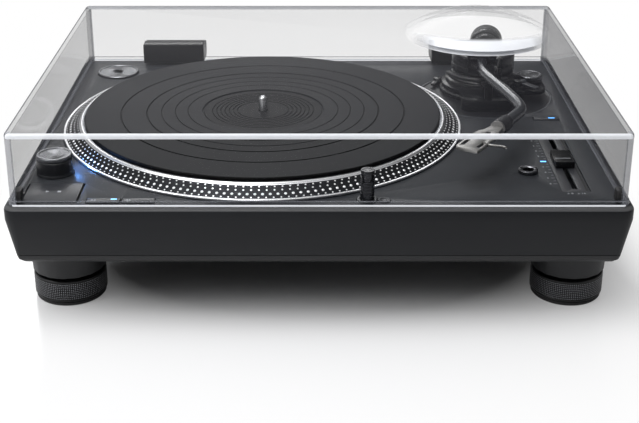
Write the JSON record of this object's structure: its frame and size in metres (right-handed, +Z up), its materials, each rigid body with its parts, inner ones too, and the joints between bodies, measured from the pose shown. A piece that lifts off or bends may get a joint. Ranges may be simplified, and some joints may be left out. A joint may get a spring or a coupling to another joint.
{
  "type": "turntable",
  "caption": "Direct drive turntable on round levelling feet, with an S shaped tonearm, pitch fader, strobe column and clear hinged dust cover with a dome.",
  "frame": {"origin": "on the floor under the middle of the whole object, hinges included", "axes": "+Z up, +X to the right as seen from the front, -Y towards the front"},
  "size_m": [0.453, 0.372, 0.169],
  "materials": {
    "satin_black": "satin black painted die casting",
    "deck_grey": "fine satin dark grey paint",
    "black_metal": "semi gloss black",
    "arm_black": "smooth semi gloss dark grey",
    "black_plastic": "matt black moulding",
    "rubber": "matt black rubber",
    "cast_rim": "machined rim, anodised dark with bright dots",
    "spun_metal": "spun, dark anodised",
    "silver": "satin silver",
    "steel": "turned bright steel",
    "gold": "plated",
    "copper": "enamelled winding",
    "board": "circuit board",
    "blue_lens": "lit pale blue lens",
    "clear": "clear polished acrylic"
  },
  "bodies": {
    "chassis": {"cabinet": "satin_black", "base": "satin_black", "bearing_housing": "steel", "motor_stator": "copper", "circuit_board": "board", "power_supply": "steel", "strobe_column": "satin_black", "strobe_window": "blue_lens", "light_collar": "black_metal", "fader_plate": "deck_grey", "headshell_stand": "black_metal", "arm_base_plate": "black_metal", "hinge_socket_left": "black_plastic", "hinge_socket_right": "black_plastic", "phono_panel": "black_plastic", "phono_jack_left": "gold", "phono_jack_right": "gold", "ground_post": "steel", "mains_inlet": "black_plastic"},
    "cover": {"dust_cover": "clear", "hinge_left": "black_plastic", "hinge_right": "black_plastic"},
    "platter_body": {"platter": "cast_rim", "platter_mat": "rubber", "spindle": "steel", "rotor_magnet": "black_metal"},
    "height_ring_body": {"height_ring": "black_metal"},
    "lock_lever_body": {"height_lock_lever": "black_metal"},
    "platform_body": {"arm_platform": "black_metal", "arm_rest": "black_plastic"},
    "skate_dial_body": {"anti_skate_dial": "black_metal"},
    "clamp_body": {"arm_clamp": "black_plastic"},
    "cue_lever_body": {"cue_lever": "black_metal"},
    "arm_lift_body": {"arm_lift": "black_metal"},
    "turret_body": {"arm_turret": "black_metal", "turret_cap": "black_metal"},
    "arm_body": {"arm_tube": "arm_black"},
    "weight_carrier_body": {"weight_insert": "steel"},
    "counterweight_body": {"counterweight": "black_metal"},
    "force_dial_body": {"force_dial": "black_metal"},
    "collar_nut_body": {"collar_nut": "black_metal"},
    "headshell_body": {"headshell": "silver"},
    "power_knob_body": {"power_knob": "black_metal"},
    "start_button_body": {"start_stop_button": "deck_grey"},
    "speed_button_1_body": {"speed_button_1": "deck_grey"},
    "speed_button_2_body": {"speed_button_2": "deck_grey"},
    "reset_button_body": {"reset_button": "deck_grey"},
    "light_button_body": {"light_button": "black_metal"},
    "stylus_light_body": {"stylus_light": "black_metal", "light_lens": "blue_lens"},
    "fader_body": {"fader_knob": "black_plastic"},
    "adaptor_body": {"single_adaptor": "spun_metal"},
    "foot_1_body": {"foot_stud_1": "rubber"},
    "foot_ring_1_body": {"foot_ring_1": "black_metal"},
    "foot_2_body": {"foot_stud_2": "rubber"},
    "foot_ring_2_body": {"foot_ring_2": "black_metal"},
    "foot_3_body": {"foot_stud_3": "rubber"},
    "foot_ring_3_body": {"foot_ring_3": "black_metal"},
    "foot_4_body": {"foot_stud_4": "rubber"},
    "foot_ring_4_body": {"foot_ring_4": "black_metal"}
  },
  "joints": [
    {"name": "cover_hinge", "type": "hinge", "parent": "chassis", "child": "cover", "pos_m": [0, 0.1775, 0.1015], "axis": [-1, 0, 0], "range_deg": [0, 60]},
    {"name": "platter_spin", "type": "hinge", "parent": "chassis", "child": "platter_body", "pos_m": [-0.0464, -0.007, 0.0925], "axis": [0, 0, 1], "continuous": true},
    {"name": "height_ring_turn", "type": "hinge", "parent": "chassis", "child": "height_ring_body", "pos_m": [0.14924, 0.08216, 0.0925], "axis": [0, 0, 1], "range_deg": [0, 330]},
    {"name": "arm_height", "type": "slide", "parent": "chassis", "child": "platform_body", "axis": [0, 0, 1], "range_m": [0, 0.006]},
    {"name": "lock_lever_swing", "type": "hinge", "parent": "chassis", "child": "lock_lever_body", "pos_m": [0.11072, 0.10012, 0.0925], "axis": [0, 0, -1], "range_deg": [0, 35]},
    {"name": "skate_dial_turn", "type": "hinge", "parent": "platform_body", "child": "skate_dial_body", "pos_m": [0.19174, 0.07816, 0.1015], "axis": [0, 0, 1], "range_deg": [0, 270]},
    {"name": "clamp_swing", "type": "hinge", "parent": "platform_body", "child": "clamp_body", "pos_m": [0.15497, 0.02829, 0.1278], "axis": [0.2302, -0.9731, 0], "range_deg": [0, 100]},
    {"name": "cue_lever_swing", "type": "hinge", "parent": "platform_body", "child": "cue_lever_body", "pos_m": [0.18224, 0.06016, 0.1053], "axis": [-0.829, -0.5592, 0], "range_deg": [0, 60]},
    {"name": "arm_lift_rise", "type": "slide", "parent": "platform_body", "child": "arm_lift_body", "axis": [0, 0, 1], "range_m": [0, 0.0033]},
    {"name": "arm_yaw", "type": "hinge", "parent": "platform_body", "child": "turret_body", "pos_m": [0.14924, 0.08216, 0.1125], "axis": [0, 0, -1], "range_deg": [0, 41]},
    {"name": "arm_pitch", "type": "hinge", "parent": "turret_body", "child": "arm_body", "pos_m": [0.14924, 0.08216, 0.1215], "axis": [-0.9842, 0.1771, 0], "range_deg": [0, 4]},
    {"name": "weight_travel", "type": "slide", "parent": "arm_body", "child": "weight_carrier_body", "axis": [0.1771, 0.9842, 0], "range_m": [-0.0025, 0.005]},
    {"name": "counterweight_turn", "type": "hinge", "parent": "weight_carrier_body", "child": "counterweight_body", "pos_m": [0.15809, 0.13137, 0.1215], "axis": [0.1771, 0.9842, 0], "range_deg": [-360, 720]},
    {"name": "force_dial_turn", "type": "hinge", "parent": "weight_carrier_body", "child": "force_dial_body", "pos_m": [0.15562, 0.11759, 0.1215], "axis": [0.1771, 0.9842, 0], "range_deg": [0, 300]},
    {"name": "collar_nut_turn", "type": "hinge", "parent": "arm_body", "child": "collar_nut_body", "pos_m": [0.13839, -0.09677, 0.1215], "axis": [-0.5329, -0.8462, 0], "range_deg": [0, 90]},
    {"name": "headshell_pull", "type": "slide", "parent": "arm_body", "child": "headshell_body", "axis": [-0.5329, -0.8462, 0], "range_m": [0, 0.012]},
    {"name": "power_knob_turn", "type": "hinge", "parent": "chassis", "child": "power_knob_body", "pos_m": [-0.201, -0.116, 0.1045], "axis": [0, 0, 1], "range_deg": [0, 60]},
    {"name": "start_button_press", "type": "slide", "parent": "chassis", "child": "start_button_body", "axis": [0, 0, -1], "range_m": [0, 0.0012], "stiffness_N_per_m": 600, "springref_m": -0.001},
    {"name": "speed_button_1_press", "type": "slide", "parent": "chassis", "child": "speed_button_1_body", "axis": [0, 0, -1], "range_m": [0, 0.0012], "stiffness_N_per_m": 400, "springref_m": -0.001},
    {"name": "speed_button_2_press", "type": "slide", "parent": "chassis", "child": "speed_button_2_body", "axis": [0, 0, -1], "range_m": [0, 0.0012], "stiffness_N_per_m": 400, "springref_m": -0.001},
    {"name": "reset_button_press", "type": "slide", "parent": "chassis", "child": "reset_button_body", "axis": [0, 0, -1], "range_m": [0, 0.0012], "stiffness_N_per_m": 400, "springref_m": -0.001},
    {"name": "light_button_press", "type": "slide", "parent": "chassis", "child": "light_button_body", "axis": [0, 0, -1], "range_m": [0, 0.0012], "stiffness_N_per_m": 400, "springref_m": -0.001},
    {"name": "stylus_light_drop", "type": "slide", "parent": "chassis", "child": "stylus_light_body", "axis": [0, 0, -1], "range_m": [0, 0.0215]},
    {"name": "fader_travel", "type": "slide", "parent": "chassis", "child": "fader_body", "axis": [0, 1, 0], "range_m": [-0.044, 0.044]},
    {"name": "adaptor_lift", "type": "slide", "parent": "chassis", "child": "adaptor_body", "axis": [0, 0, 1], "range_m": [0, 0.03]},
    {"name": "foot_1_extend", "type": "slide", "parent": "chassis", "child": "foot_1_body", "axis": [0, 0, -1], "range_m": [0, 0.008]},
    {"name": "foot_ring_1_turn", "type": "hinge", "parent": "foot_1_body", "child": "foot_ring_1_body", "pos_m": [-0.192, -0.132, 0.012], "axis": [0, 0, 1], "range_deg": [0, 1440]},
    {"name": "foot_2_extend", "type": "slide", "parent": "chassis", "child": "foot_2_body", "axis": [0, 0, -1], "range_m": [0, 0.008]},
    {"name": "foot_ring_2_turn", "type": "hinge", "parent": "foot_2_body", "child": "foot_ring_2_body", "pos_m": [0.192, -0.132, 0.012], "axis": [0, 0, 1], "range_deg": [0, 1440]},
    {"name": "foot_3_extend", "type": "slide", "parent": "chassis", "child": "foot_3_body", "axis": [0, 0, -1], "range_m": [0, 0.008]},
    {"name": "foot_ring_3_turn", "type": "hinge", "parent": "foot_3_body", "child": "foot_ring_3_body", "pos_m": [-0.192, 0.119, 0.012], "axis": [0, 0, 1], "range_deg": [0, 1440]},
    {"name": "foot_4_extend", "type": "slide", "parent": "chassis", "child": "foot_4_body", "axis": [0, 0, -1], "range_m": [0, 0.008]},
    {"name": "foot_ring_4_turn", "type": "hinge", "parent": "foot_4_body", "child": "foot_ring_4_body", "pos_m": [0.192, 0.119, 0.012], "axis": [0, 0, 1], "range_deg": [0, 1440]}
  ],
  "couplings": [
    {"joint": "height_ring_turn", "follows": "arm_height", "rad_per_m": 959.93},
    {"joint": "arm_lift_rise", "follows": "cue_lever_swing", "m_per_rad": 0.0031513},
    {"joint": "weight_travel", "follows": "counterweight_turn", "m_per_rad": 0.00039789},
    {"joint": "foot_1_extend", "follows": "foot_ring_1_turn", "m_per_rad": 0.0003183},
    {"joint": "foot_2_extend", "follows": "foot_ring_2_turn", "m_per_rad": 0.0003183},
    {"joint": "foot_3_extend", "follows": "foot_ring_3_turn", "m_per_rad": 0.0003183},
    {"joint": "foot_4_extend", "follows": "foot_ring_4_turn", "m_per_rad": 0.0003183}
  ]
}
